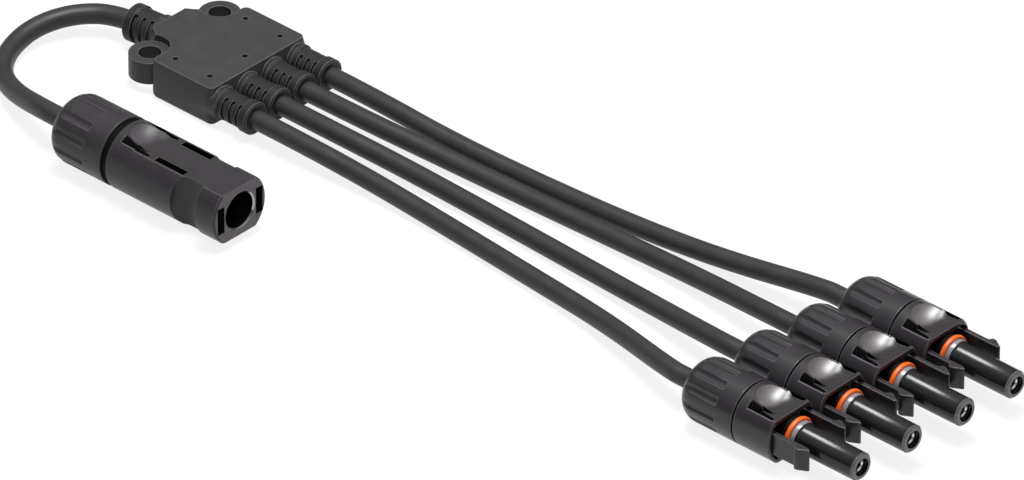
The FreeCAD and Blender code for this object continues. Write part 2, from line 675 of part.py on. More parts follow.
def make_input_housing(label, at):
    body = new_body(label)
    start, front = D.thread_start, D.in_front
    shoulder = D.in_nut_long + D.in_ring_long
    inner = D.contact_rad + D.slip
    revolved(body, label + "_turned", (
        (start, D.in_bore - 2.1), (start, D.in_bore - D.slip), (shoulder, D.in_bore - D.slip),
        (shoulder, D.in_rad - 0.5), (shoulder + 0.5, D.in_rad), (front - 0.5, D.in_rad),
        (front, D.in_rad - 0.5), (front, D.socket_rad + 0.4), (front - 0.4, D.socket_rad),
        (front - D.socket_deep, D.socket_rad), (front - D.socket_deep, inner), (start + 10, inner),
        (start + 10, D.in_bore - 2.1)))
    top_flat(body, label, D.in_bowl_at, D.in_bowl_rad, front, D.in_flat)
    cut_box(body, label + "_flat_low", (front - D.in_flat_long, -12, -D.in_flat - 6), (front, 12, -D.in_flat))
    side_slots(
        body, label + "_slots", D.in_slot_from, D.in_slot_to, D.in_slot_in, D.slot_tip, D.in_slot_out, D.in_flat)
    side_slots(
        body, label + "_windows", D.window_from, D.window_from + D.window_long,
        D.in_slot_out - D.window_wide, D.window_wide, D.in_slot_out, D.in_flat)
    block = front - D.front_block
    flare = block - D.waist_long
    reach = D.in_rad + 1
    rim = D.waist_half + D.waist_curve
    for side, hand in ((-1, "right"), (1, "left")):
        sketch = new_sketch(body, "%s_waist_outline_%s" % (label, hand), "XY_Plane")
        corners = [
            (block, D.waist_half), (block, reach), (flare - D.waist_curve, reach),
            (flare - D.waist_curve, rim, flare, rim), (flare, D.waist_half)]
        polygon(sketch, [tuple(value * (side if i % 2 else 1) for i, value in enumerate(c)) for c in corners])
        pocketed(body, "%s_waist_%s" % (label, hand), sketch, 30, middle=True)
        low = side * D.latch_slot_near - (0 if side > 0 else D.latch_slot_wide)
        cut_box(
            body, "%s_latch_slot_%s" % (label, hand),
            (block - 0.1, low, -D.latch_slot_half), (front, low + D.latch_slot_wide, D.latch_slot_half))
    finish(body, *at)


def make_pin_contact(label, at):
    body = new_body(label)
    back = D.thread_start + D.cable_in_gland
    seat = D.in_front - D.socket_deep
    tip = D.in_front - 6.5
    revolved(body, label + "_turned", (
        (back, 0), (back, D.contact_rad - 0.4), (D.thread_start + 11, D.contact_rad - 0.4),
        (D.thread_start + 11, D.contact_rad),
        (seat + 1.5, D.contact_rad), (seat + 1.5, 1.5), (tip - 0.8, 1.5), (tip, 0.8), (tip, 0)))
    finish(body, *at)


def make_seal_washer(label, at):
    body = new_body(label)
    start = D.in_nut_long
    revolved(body, label + "_turned", (
        (start + D.slip, D.in_bore), (start + D.slip, D.in_rad - 0.7),
        (start + D.in_ring_long - D.slip, D.in_rad - 0.7), (start + D.in_ring_long - D.slip, D.in_bore)))
    finish(body, *at)


# Cables: straight runs joined by tangent arcs, each arc as large as its two runs allow
def make_cable(label, radius, route):
    spots = [Vector(*(as_size(c).number for c in spot)) for spot in route]
    edges = []
    here = spots[0]
    radii = []
    for before, corner, after in zip(spots, spots[1:], spots[2:]):
        back = before - corner
        ahead = after - corner
        shorter = min(back.Length, ahead.Length)
        turning = math.pi - back.getAngle(ahead)
        cut = 0.45 * shorter
        bend = cut / math.tan(turning / 2)
        radii.append(bend)
        back.normalize()
        ahead.normalize()
        start = corner + back * cut
        stop = corner + ahead * cut
        inward = back + ahead
        inward.normalize()
        middle = corner + inward * (bend / math.cos(turning / 2) - bend)
        edges.append(Part.LineSegment(here, start).toShape())
        edges.append(Part.Arc(start, middle, stop).toShape())
        here = stop
    edges.append(Part.LineSegment(here, spots[-1]).toShape())
    path = Part.Wire(edges)
    first = spots[1] - spots[0]
    section = Part.Wire([Part.Circle(spots[0], first, radius.number).toShape()])
    tube = path.makePipeShell([section], True, False)
    if not tube.isValid() or tube.Volume < 0:
        tube = tube.reversed()
    length = path.Length
    ideal = math.pi * radius.number ** 2 * length
    print("%s: length %.1f mm, radii %s, volume ratio %.4f" % (
        label, length, " ".join("%.0f" % r for r in radii), tube.Volume / ideal))
    piece = DOC.addObject("Part::Feature", label)
    piece.Shape = tube
    piece.Label = label
    piece.Placement = Placement()
    PIECES.append(piece)


make_splitter()
make_splice()

# Where the back of each output cap nut lies, along and across the row
OUTPUTS = ((206.2, -31.7), (207.5, -12.95), (209.4, 5.8), (210.6, 24.55))

for i, (x, y) in enumerate(OUTPUTS, 1):
    at = (x, y, D.out_axis)
    name = "output_%d_" % i
    make_nut(name + "nut", D.nut_rad, D.nut_long, D.nut_bore, D.nut_mouth, 12, as_size(0), at)
    make_cage(name + "cage", D.cord_out_rad, D.nut_bore - 2.1, D.thread_start, D.nut_bore, at)
    make_gland(name + "gland", D.cord_out_rad, D.nut_bore - 2.1, D.thread_start + 1.6, D.thread_start + 8.9, at)
    make_output_housing(name + "housing", at)
    make_arm(name + "arm_right", -1, at)
    make_arm(name + "arm_left", 1, at)
    make_ring(name + "seal", D.front_out + 1.55 + D.ring_thick / 2, D.collar_rad - 0.6, D.ring_thick, at)
    make_socket_contact(name + "contact", at)

INPUT = (-1.75, -54.5, D.in_axis)
make_nut("input_nut", D.in_rad, D.in_nut_long, D.in_bore, D.in_mouth, 12, D.in_flute_turn, INPUT)
make_cage("input_cage", D.cord_in_rad, D.in_bore - 2.1, D.thread_start, D.in_bore, INPUT)
make_gland("input_gland", D.cord_in_rad, D.in_bore - 2.1, D.thread_start + 1.6, D.thread_start + 9.9, INPUT)
make_input_housing("input_housing", INPUT)
make_pin_contact("input_contact", INPUT)
make_seal_washer("input_seal", INPUT)

# Routes of the cables: each lies straight in its boot, comes down to the surface and rises to its connector
BOOT_END = (D.block_ahead + D.block_long / 2 + D.boot_long).number
LEVEL = D.cord_level.number
FREE_ROUTES = (
    ((72, -13.1, 4.0), (100, -14.1, 2.85), (135, -17.1, 2.85), (165, -21.5, 4.6)),
    ((72, -2.3, 4.0), (100, -2.0, 2.85), (136, -3.6, 2.85), (167, -6.8, 4.6)),
    ((72, 8.4, 4.0), (101, 10.6, 2.85), (137, 11.9, 2.85), (168, 11.0, 4.6)),
    ((72, 15.8, 4.0), (100, 17.7, 2.85), (134, 19.8, 2.85), (166, 21.9, 4.6)),
)
for i, ((x, y), middle) in enumerate(zip(OUTPUTS, FREE_ROUTES), 1):
    across = (D.boot_pitch * (i - 2.5)).number
    inner = x + (D.thread_start + D.cable_in_gland).number
    axis = D.out_axis.number
    make_cable("output_cable_%d" % i, D.cord_out_rad, (
        (BOOT_END - D.cord_seat.number, across, LEVEL), (46, across, LEVEL), *middle,
        (x - 14, y, axis), (inner, y, axis)))

LEAN = Rotation(Vector(0, 0, 1), D.boot_in_lean.number).multVec(Vector(-1, 0, 0))
PIVOT = Vector(-D.lean_from.number, 0, LEVEL)
LOOP = (
    (-44.2, -9.9, 6.2), (-48.8, -20.4, 5.0), (-48.0, -31.3, 3.2), (-41.8, -41.0, 2.95), (-30.4, -47.6, 4.6),
    (INPUT[0] - 10.1, INPUT[1], INPUT[2]), (as_size(INPUT[0]) + D.thread_start + D.cable_in_gland, INPUT[1], INPUT[2]),
)
make_cable("input_cable", D.cord_in_rad, (
    tuple(PIVOT + LEAN * D.input_sheath.number), tuple(PIVOT + LEAN * 26.5)) + LOOP)

for _ in range(2):
    DOC.recompute()

os.makedirs("parts", exist_ok=True)
for thing in DOC.Objects:
    if "Invalid" in thing.State or "Error" in thing.State:
        raise RuntimeError("%s: %s" % (thing.Name, thing.State))
total = 0
for piece in PIECES:
    shape = piece.Shape
    if shape.isNull() or not shape.isValid() or shape.Volume <= 0 or len(shape.Solids) != 1:
        raise RuntimeError("%s is not one valid solid (%d solids)" % (piece.Label, len(shape.Solids)))
    shape.exportStep("parts/%s.step" % piece.Label)
    box = shape.BoundBox
    total += 1
    print("%-22s %9.1f mm3  X %7.1f %7.1f  Y %6.1f %6.1f  Z %5.2f %5.2f" % (
        piece.Label, shape.Volume, box.XMin, box.XMax, box.YMin, box.YMax, box.ZMin, box.ZMax))
print("%d pieces" % total)
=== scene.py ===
import math
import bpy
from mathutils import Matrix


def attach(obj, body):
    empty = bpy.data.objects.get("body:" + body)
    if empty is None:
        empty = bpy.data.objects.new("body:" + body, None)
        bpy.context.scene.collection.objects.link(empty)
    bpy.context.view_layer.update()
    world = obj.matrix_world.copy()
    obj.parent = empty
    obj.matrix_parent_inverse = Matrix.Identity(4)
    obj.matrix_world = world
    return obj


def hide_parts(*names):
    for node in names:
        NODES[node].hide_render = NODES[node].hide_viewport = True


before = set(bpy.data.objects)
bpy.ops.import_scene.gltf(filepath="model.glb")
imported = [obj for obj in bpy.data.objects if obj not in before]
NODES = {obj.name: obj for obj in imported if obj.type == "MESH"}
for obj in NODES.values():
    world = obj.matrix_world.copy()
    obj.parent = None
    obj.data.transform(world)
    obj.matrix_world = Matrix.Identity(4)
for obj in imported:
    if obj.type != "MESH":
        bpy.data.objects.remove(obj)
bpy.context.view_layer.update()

from types import SimpleNamespace

import bmesh
import bpy
from mathutils import Vector

# Solar splitter cable: a flat moulded junction, a looped input lead with a socket connector, and four output
# leads with latching plug connectors. The part's own frame has X towards the output connectors and Z up.
# Blender works in metres. Sizes are written in millimetres and divided by MM.

MM = 1000
SCENE = bpy.context.scene
SCENE.view_settings.view_transform = "Standard"

# Back of each output cap nut (x and y), and height of the output connectors' axes
OUTPUTS = {1: (206.2, -31.7), 2: (207.5, -12.95), 3: (209.4, 5.8), 4: (210.6, 24.55)}
OUT_AXIS = 9.35
# Back of the input cap nut
INPUT_AT = Vector((-1.75, -54.5, 10.3))

# Sizes of the connectors, measured ahead from the back of the nut and out from the axis
OUTPUT = SimpleNamespace(
    radius=9.3, nut_dome=5.0, front=33.4, flat=6.4, hollow_at=27.5, hollow_rim=4.9,
    slot_from=23.5, slot_in=4.6, slot_slant=0.119)
INPUT = SimpleNamespace(
    radius=10.1, nut_dome=4.6, flat=7.6, hollow_at=30.4, hollow_rim=5.4,
    slot_from=25.2, slot_in=4.0, slot_slant=0.11, window=(37.4, 48.4), window_in=4.7, wider_window_in=4.15)

# Parts of an output housing that have a look of their own, measured ahead of its front face. The cavity and
# slots are painted shade, the collar a painted highlight and the tip painted light.
CAVITY = SimpleNamespace(back=-4.5, half=8.2, low=-6.2, top=6.0, reach=8.7)
OUT_SLOTS = SimpleNamespace(back=-10.1, front=-0.9, near=4.5, low=3.7, top=6.39, reach=9.1)
NOSE_PART = SimpleNamespace(front_face=-0.05, back=1.4, reach=5.3, tip=23.85)
COLLAR_PART = SimpleNamespace(back=2.95, front=3.9, near=4.3)

# Parts of the input housing that have a look of their own, measured ahead of the back of its nut. The slots,
# latch slots and bore are painted shade and the front face painted light.
IN_SLOTS = SimpleNamespace(
    spans=((25.1, 35.3), INPUT.window), near=3.6, far=6.3, low=4.9, top=7.58, reach=9.9)
LATCH_SLOTS = SimpleNamespace(back=55.8, near=6.05, far=8.8, half=4.15)
SOCKET = SimpleNamespace(face=63.35, rim=62.8, back=30, reach=5.75)

# The boots lie ahead of and behind these places
BOOTS_AHEAD = 17.3
BOOTS_BEHIND = -18.2

# Orange sealing ring: its place ahead of the front face, middle radius and half sizes
RING = SimpleNamespace(
    ahead=2.2, radius=4.6, half_long=0.85, half_thick=0.7, flat=0.75, around=72, outline=16)

# In the copies of solids: corners nearer than this in metres are one, edges flatter than the first angle go,
# and edges steeper than the last are sharp
WELD = 2e-6
NEARLY_FLAT = math.radians(0.6)
SHARP_FROM = math.radians(40)


# Camera: a long lens far away, as in a catalogue picture
def aim(target, direction, distance, lens):
    data = bpy.data.cameras.new("camera")
    data.lens = lens
    data.sensor_width = 36
    data.clip_end = 50
    camera = bpy.data.objects.new("camera", data)
    SCENE.collection.objects.link(camera)
    away = Vector(direction).normalized()
    camera.location = Vector(target) + away * distance
    camera.rotation_euler = away.to_track_quat("Z", "Y").to_euler()
    SCENE.camera = camera


# Materials
class Nodes:
    """The node tree of a new material, with short ways to add and join nodes."""

    def __init__(self, name):
        self.material = bpy.data.materials.new(name)
        self.material.use_nodes = True
        self.tree = self.material.node_tree
        self.tree.nodes.clear()
        self.out = self.tree.nodes.new("ShaderNodeOutputMaterial")

    def add(self, kind, inputs=(), **settings):
        node = self.tree.nodes.new("ShaderNode" + kind)
        for key, value in settings.items():
            setattr(node, key, value)
        for key, value in dict(inputs).items():
            self.put(node.inputs[key], value)
        return node

    def put(self, socket, value):
        if isinstance(value, bpy.types.NodeSocket):
            self.tree.links.new(value, socket)
        elif isinstance(value, bpy.types.Node):
            self.tree.links.new(value.outputs[0], socket)
        else:
            socket.default_value = value

    def math(self, operation, *values):
        node = self.add("Math", operation=operation)
        for i, value in enumerate(values):
            self.put(node.inputs[i], value)
        return node.outputs[0]

    def spread(self, value, low, high, to_low, to_high):
        node = self.add("MapRange", {0: value, 1: low, 2: high, 3: to_low, 4: to_high})
        return node.outputs[0]

    def blend(self, amount, first, second):
        node = self.add("Mix", data_type="RGBA")
        self.put(node.inputs[0], amount)
        self.put(node.inputs[6], first)
        self.put(node.inputs[7], second)
        return node.outputs[2]

    def mix_shader(self, amount, first, second):
        return self.add("MixShader", {0: amount, 1: first, 2: second})

    def finish(self, shader):
        self.put(self.out.inputs[0], shader)
        return self.material


def tinted(tone, tint):
    return tuple(tone * channel for channel in tint) + (1.0,)


def plastic_shader(n, tone, rough, grain=0.05, grain_scale=4200.0, specular=0.5, tint=(1.0, 1.0, 1.0),
                   spread=0.12, cloud=160.0, ior=1.5, vary=0.02, edge=None, edge_wide=0.25):
    """Fine grain in the surface, soft clouds in its tone and gloss; where an edge tone is given, a painted
    highlight: a paler tone along the edges, which look rounded over edge_wide millimetres."""
    place = n.add("TexCoord").outputs["Object"]
    clouds = n.add("TexNoise", {"Vector": place, "Scale": cloud, "Detail": 4.0, "Roughness": 0.6})
    fine = n.add("TexNoise", {"Vector": place, "Scale": grain_scale, "Detail": 3.0, "Roughness": 0.55})
    dark, light = tinted(tone * (1 - spread), tint), tinted(tone * (1 + spread), tint)
    colour = n.blend(n.spread(clouds, 0.3, 0.7, 0.0, 1.0), dark, light)
    gloss = n.spread(n.math("ADD", fine, clouds), 0.6, 1.4, rough - vary, rough + vary)
    bump = n.add("Bump", {"Strength": grain, "Distance": 0.0001, "Height": fine})
    if edge:
        rounded = n.add("Bevel", {"Radius": edge_wide / MM}, samples=4).outputs[0]
        n.put(bump.inputs["Normal"], rounded)
        flat = n.add("NewGeometry").outputs["Normal"]
        turned = n.add("VectorMath", {0: rounded, 1: flat}, operation="DOT_PRODUCT").outputs["Value"]
        # Painted highlight: a paler tone where the rounded normal turns away from the face's own, along every
        # edge
        colour = n.blend(n.spread(turned, 0.99, 0.93, 0.0, 1.0), colour, tinted(edge, tint))
    return n.add("BsdfPrincipled", {
        "Base Color": colour, "Roughness": gloss, "Normal": bump.outputs[0], "IOR": ior,
        "Specular IOR Level": specular})


def plastic(name, into=None, **kind):
    """Moulded plastic or rubber. With into, the surface passes over into that second plastic by the mesh's
    own measure named fade."""
    n = Nodes(name)
    shader = plastic_shader(n, **kind)
    if into:
        fade = n.add("Attribute", attribute_name="fade").outputs["Fac"]
        shader = n.mix_shader(fade, shader, plastic_shader(n, **into))
    return n.finish(shader)


def metal(name, colour, rough):
    """Bare metal with short streaks in its tone and gloss."""
    n = Nodes(name)
    place = n.add("TexCoord").outputs["Object"]
    streaks = n.add("TexNoise", {"Vector": place, "Scale": 2500.0, "Detail": 4.0}).outputs[0]
    gloss = n.spread(streaks, 0.25, 0.75, rough - 0.08, rough + 0.1)
    tone = n.blend(n.spread(streaks, 0.3, 0.7, 0.0, 1.0), tinted(0.85, colour), tinted(1.0, colour))
    bump = n.add("Bump", {"Strength": 0.15, "Distance": 0.0001, "Height": streaks})
    return n.finish(n.add("BsdfPrincipled", {
        "Base Color": tone, "Roughness": gloss, "Metallic": 1.0, "Normal": bump.outputs[0]}))


PURPLE = (1.08, 0.95, 1.1)
GRAINY = dict(grain=0.5, grain_scale=5200.0, vary=0.05, edge_wide=0.35)
SHELL_KIND = dict(tone=0.019, rough=0.3, grain=0.06, specular=0.45, tint=PURPLE)
INPUT_KIND = dict(tone=0.026, rough=0.38, grain=0.12, specular=0.32, tint=PURPLE)

# The edge tones given below paint a highlight along the edges of these plastics
BLOCK = plastic("block_plastic", tone=0.04, rough=0.45, specular=0.25, edge=0.2, **GRAINY)
BOOT = plastic("boot_plastic", tone=0.019, rough=0.5, specular=0.22, edge=0.17, **GRAINY)
SHEATH = plastic(
    "cable_sheath", tone=0.03, rough=0.42, grain=0.2, grain_scale=3000.0, specular=0.3, vary=0.05)
SHELL = plastic("connector_plastic", edge=0.12, edge_wide=0.5, **SHELL_KIND)
INPUT_SHELL = plastic("input_plastic", edge=0.1, edge_wide=0.5, **INPUT_KIND)
# Painted light: the socket's front face is a paler copy of the input plastic
INPUT_FACE_PAINTED_LIGHT = plastic("input_face_painted_light", tone=0.11, rough=0.4, grain=0.15, specular=0.3, tint=PURPLE, edge=0.16)
NOSE = plastic(
    "nose_plastic", tone=0.008, rough=0.22, grain=0.0, specular=0.4, tint=PURPLE, spread=0.05, vary=0.008)
# Painted highlight: the collar's ring is a pale, glossy copy of the nose plastic
COLLAR_HIGHLIGHT = plastic("collar_painted_highlight", tone=0.2, rough=0.28, specular=0.9, tint=(1.03, 0.97, 1.1))
# Painted light: the nose's tip face is a paler copy of the nose plastic
TIP_PAINTED_LIGHT = plastic("nose_tip_painted_light", tone=0.09, rough=0.3, specular=0.8, tint=PURPLE, edge=0.3)
# Painted sheen: the thumb hollows are paler, glossier copies of the connector plastics, fading into them
# ahead
HOLLOW_SHEEN = plastic(
    "thumb_hollow", tone=0.07, rough=0.5, specular=1.0, tint=(1.15, 0.96, 1.08), ior=1.9, into=SHELL_KIND)
INPUT_HOLLOW_SHEEN = plastic("input_thumb_hollow", tone=0.045, rough=0.5, specular=0.7, tint=PURPLE, into=INPUT_KIND)
# Painted shade: near-black plastic in cavities, slots and the thumb hollows' skirts
SHADE = plastic("painted_shade_plastic", tone=0.003, rough=0.6, specular=0.1)
# Painted shade: near-black inside the socket's bore
BORE_SHADE = plastic("bore_painted_shade", tone=0.004, rough=0.2, specular=0.6)
RIM = plastic("bore_rim", tone=0.04, rough=0.16, specular=1.0, ior=2.4)
ORANGE = plastic("orange_seal", tone=0.8, rough=0.4, grain=0.1, specular=0.7, tint=(1.0, 0.15, 0.006))
# Black rubber, darkened further as painted shade where the input seal shows in the gap behind its nut
SEAL_RUBBER_AND_SHADE = plastic("black_seal", tone=0.002, rough=0.6, specular=0.1)
TIN = metal("tinned_copper", (0.8, 0.78, 0.74), 0.25)
# Painted shade: the pin deep in the socket is a darkened copy of the tinned copper
SHADED_PIN = metal("pin_painted_shade", (0.16, 0.155, 0.15), 0.4)
COPPER = metal("copper", (0.8, 0.45, 0.3), 0.3)


# Pieces
def add_piece(name, mesh, body, looks, node=None):
    """Makes an object of a mesh. It rides on body, and replaces the solid of node where one is given."""
    mesh.materials.clear()
    for look in looks:
        mesh.materials.append(look)
    for face in mesh.polygons:
        face.use_smooth = True
    piece = bpy.data.objects.new(name, mesh)
    SCENE.collection.objects.link(piece)
    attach(piece, body)
    if node:
        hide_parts(node)
    return piece


def round_edges(piece, width):
    bevel = piece.modifiers.new("edges", "BEVEL")
    bevel.width = width / MM
    bevel.segments = 2
    bevel.limit_method = "ANGLE"
    bevel.angle_limit = math.radians(28)


def soften(name, node, body, looks, part_of=None, shape=None, form=None, shift=(0, 0, 0)):
    """A copy of a solid with fewer, larger and smoothly shaded faces. part_of picks a face's material by its
    centre, and shape changes the copy. form is a like solid to copy, moved by shift."""
    mesh = NODES[form or node].data.copy()
    mesh.name = name
    work = bmesh.new()
    work.from_mesh(mesh)
    bmesh.ops.translate(work, vec=Vector(shift) / MM, verts=work.verts)
    bmesh.ops.remove_doubles(work, verts=work.verts, dist=WELD)
    bmesh.ops.dissolve_degenerate(work, edges=work.edges, dist=WELD)
    bmesh.ops.dissolve_limit(
        work, angle_limit=NEARLY_FLAT, verts=work.verts, edges=work.edges, use_dissolve_boundaries=False)
    if shape:
        shape(work)
    work.to_mesh(mesh)
    work.free()
    if "custom_normal" in mesh.attributes:
        mesh.attributes.remove(mesh.attributes["custom_normal"])
    piece = add_piece(name, mesh, body, looks, node)
    if part_of:
        for face in mesh.polygons:
            face.material_index = part_of(face.center * MM)
    mesh.set_sharp_from_angle(angle=SHARP_FROM)
    return piece


def dome(work, at, radius, back, steps=8):
    """Rounds the back of a cap nut further, to the given radius."""
    x, y, z = at
    for step in range(1, steps + 1):
        ahead = back * (1 - math.cos(math.radians(90 * step / steps)))
        bmesh.ops.bisect_plane(
            work, geom=work.verts[:] + work.edges[:] + work.faces[:], dist=1e-6,
            plane_co=((x + ahead) / MM, 0, 0), plane_no=(1, 0, 0))
    for vert in work.verts:
        ahead = vert.co.x * MM - x
        if ahead >= back:
            continue
        limit = radius - back + math.sqrt(max(0.0, back ** 2 - (back - ahead) ** 2))
        out = math.hypot(vert.co.y * MM - y, vert.co.z * MM - z)
        if out > limit:
            vert.co.y = (y + (vert.co.y * MM - y) * limit / out) / MM
            vert.co.z = (z + (vert.co.z * MM - z) * limit / out) / MM


def widen_windows(work):
    """Brings the inner edges of the input housing's front pair of slots nearer to the middle."""
    start, stop = INPUT.window
    for vert in work.verts:
        ahead, across, up = vert.co * MM - INPUT_AT
        if start < ahead < stop and abs(abs(across) - INPUT.window_in) < 0.05 and up > IN_SLOTS.low:
            vert.co.y = (INPUT_AT.y + math.copysign(INPUT.wider_window_in, across)) / MM


HOUSING_LOOKS = [SHELL, NOSE, COLLAR_HIGHLIGHT, TIP_PAINTED_LIGHT, SHADE]
INPUT_LOOKS = [INPUT_SHELL, BORE_SHADE, SHADE, RIM, INPUT_FACE_PAINTED_LIGHT]
BLOCK_LOOKS = [BLOCK, BOOT]


def housing_part(x, y):
    """Picks from HOUSING_LOOKS for a face of the output housing at x, y."""
    def pick(centre):
        ahead, across, up = centre.x - x - OUTPUT.front, centre.y - y, centre.z - OUT_AXIS
        out = math.hypot(across, up)
        if ahead < NOSE_PART.front_face:
            s = OUT_SLOTS
            cavity = (ahead > CAVITY.back and abs(across) < CAVITY.half and CAVITY.low < up < CAVITY.top
                      and out < CAVITY.reach)
            slot = s.back < ahead < s.front and abs(across) > s.near and s.low < up < s.top and out < s.reach
            # The cavity and the slots get painted shade
            return HOUSING_LOOKS.index(SHADE if cavity or slot else SHELL)
        if ahead < NOSE_PART.back or out > NOSE_PART.reach:
            return HOUSING_LOOKS.index(SHELL)
        if ahead > NOSE_PART.tip:
            return HOUSING_LOOKS.index(TIP_PAINTED_LIGHT)
        # The collar's ring gets the painted highlight
        collar = COLLAR_PART.back < ahead < COLLAR_PART.front and out > COLLAR_PART.near
        return HOUSING_LOOKS.index(COLLAR_HIGHLIGHT if collar else NOSE)
    return pick


def input_part(centre):
    """Picks from INPUT_LOOKS for a face of the input housing."""
    ahead, across, up = centre - INPUT_AT
    side, out = abs(across), math.hypot(across, up)
    s, latch = IN_SLOTS, LATCH_SLOTS
    in_slot = (any(start < ahead < stop for start, stop in s.spans)
               and s.near < side < s.far and s.low < up < s.top and out < s.reach)
    in_latch = latch.back < ahead < SOCKET.face and latch.near < side < latch.far and abs(up) < latch.half
    if in_slot or in_latch:
        # The slots and latch slots get painted shade
        return INPUT_LOOKS.index(SHADE)
    if ahead > SOCKET.face:
        return INPUT_LOOKS.index(INPUT_FACE_PAINTED_LIGHT)
    if out > SOCKET.reach or ahead < SOCKET.back:
        return INPUT_LOOKS.index(INPUT_SHELL)
    return INPUT_LOOKS.index(RIM if ahead > SOCKET.rim else BORE_SHADE)


def block_part(centre):
    """Picks from BLOCK_LOOKS for a face of the junction."""
    return BLOCK_LOOKS.index(BOOT if centre.x > BOOTS_AHEAD or centre.x < BOOTS_BEHIND else BLOCK)


def ease(value):
    """Goes softly from 0 to 1."""
    value = min(1.0, max(0.0, value))
    return value * value * (3 - 2 * value)


def thumb_hollow(name, at, kind, look, around=48, rings=16):
    """Smooth floor of a thumb hollow: the back of a shallow bowl that runs out into the flat in front of it,
    with a skirt down to the flat in painted shade. It ends just short of the slots beside it."""
    rim = kind.hollow_rim
    rise = kind.radius - kind.flat
    ball = (rim ** 2 + rise ** 2) / (2 * rise)
    over, short, skirt = 0.02, 0.04, 0.3
    points, fades, faces = [(0.0, 0.0, 0.03)], [0.0], []
    for ring in range(1, rings + 1):
        for i in range(around):
            turn = 2 * math.pi * i / around
            x, y = rim * ring / rings * math.cos(turn), rim * ring / rings * math.sin(turn)
            beside = kind.hollow_at + x - kind.slot_from
            if beside > 0:
                y = math.copysign(min(abs(y), kind.slot_in + kind.slot_slant * beside - short), y)
            reach = min(rim, math.hypot(min(x, 0.0), y))
            top = math.sqrt(kind.radius ** 2 - y ** 2) - kind.flat
            bowl = (ball - math.sqrt(ball ** 2 - reach ** 2)) / rise
            points.append((x, y, bowl * top * (1 - ease(x / (0.75 * rim))) + over))
            fades.append(ease((x + 0.2 * rim) / (0.6 * rim)))
    points += [(x, y, -skirt) for x, y, z in points[-around:]]
    fades += [1.0] * around
    for i in range(around):
        after = (i + 1) % around
        faces.append((0, 1 + i, 1 + after))
        for ring in range(rings):
            a, b = 1 + ring * around, 1 + (ring + 1) * around
            faces.append((a + i, b + i, b + after, a + after))
    mesh = bpy.data.meshes.new(name)
    mesh.from_pydata([
        ((at[0] + kind.hollow_at + x) / MM, (at[1] + y) / MM, (at[2] + kind.flat + z) / MM)
        for x, y, z in points], [], faces)
    mesh.attributes.new("fade", "FLOAT", "POINT").data.foreach_set("value", fades)
    piece = add_piece(name, mesh, "splitter", [look, SHADE])
    for face in mesh.polygons:
        # The skirt's faces get painted shade
        face.material_index = int(max(face.vertices) > rings * around)
    mesh.set_sharp_from_angle(angle=SHARP_FROM)
    return piece


def seal_ring(name, node, at):
    """Sealing ring with a flattened outer face that stands over its groove."""
    outline = []
    for i in range(RING.outline):
        turn = 2 * math.pi * i / RING.outline
        along = max(-RING.flat, min(RING.flat, RING.half_long * math.cos(turn)))
        outline.append((along, RING.radius + RING.half_thick * math.sin(turn)))
    points, faces = [], []
    for i in range(RING.around):
        turn = 2 * math.pi * i / RING.around
        for along, reach in outline:
            points.append((
                (at[0] + OUTPUT.front + RING.ahead + along) / MM,
                (at[1] + reach * math.cos(turn)) / MM, (at[2] + reach * math.sin(turn)) / MM))
    count = len(outline)
    for i in range(RING.around):
        for j in range(count):
            a, b = i * count, (i + 1) % RING.around * count
            faces.append((a + j, a + (j + 1) % count, b + (j + 1) % count, b + j))
    mesh = bpy.data.meshes.new(name)
    mesh.from_pydata(points, [], faces)
    return add_piece(name, mesh, "splitter", [ORANGE], node)


def output_connector(number):
    """The pieces of an output connector. All four have the form of the first."""
    x, y = OUTPUTS[number]
    at = (x, y, OUT_AXIS)
    shift = (x - OUTPUTS[1][0], y - OUTPUTS[1][1], 0)
    p = "output_%d_" % number
    pieces = [
        soften(p + "cap", p + "nut", p + "nut", [SHELL], form="output_1_nut", shift=shift,
               shape=lambda work: dome(work, at, OUTPUT.radius, OUTPUT.nut_dome)),
        soften(p + "shell", p + "housing", "splitter", HOUSING_LOOKS,
               form="output_1_housing", shift=shift, part_of=housing_part(x, y))]
    for hand in ("right", "left"):
        arm = soften(p + "latch_" + hand, p + "arm_" + hand, p + "arm_" + hand, [SHELL],
                     form="output_1_arm_" + hand, shift=shift)
        round_edges(arm, 0.2)
        pieces.append(arm)
    pieces.append(thumb_hollow(p + "thumb_hollow", at, OUTPUT, HOLLOW_SHEEN))
    pieces.append(seal_ring(p + "ring", p + "seal", at))
    return pieces + [NODES[p + part] for part in ("cage", "gland", "contact")]


def input_connector():
    pieces = [
        soften("input_cap", "input_nut", "input_nut", [INPUT_SHELL],
               shape=lambda work: dome(work, INPUT_AT, INPUT.radius, INPUT.nut_dome)),
        soften("input_shell", "input_housing", "splitter", INPUT_LOOKS,
               part_of=input_part, shape=widen_windows),
        thumb_hollow("input_thumb_hollow", INPUT_AT, INPUT, INPUT_HOLLOW_SHEEN)]
    return pieces + [NODES["input_" + part] for part in ("cage", "gland", "seal", "contact")]


def dress_solids():
    """Gives the solids that are shown as they are their materials."""
    looks = {
        "junction_splice": COPPER, "input_seal": SEAL_RUBBER_AND_SHADE, "input_contact": SHADED_PIN, "input_cage": INPUT_SHELL,
        "input_gland": SEAL_RUBBER_AND_SHADE}
    for number in OUTPUTS:
        p = "output_%d_" % number
        looks.update({p + "cage": SHELL, p + "gland": SEAL_RUBBER_AND_SHADE, p + "contact": TIN})
    for name, look in looks.items():
        node = NODES[name]
        if not node.material_slots:
            node.data.materials.append(look)
        for slot in node.material_slots:
            slot.material = look


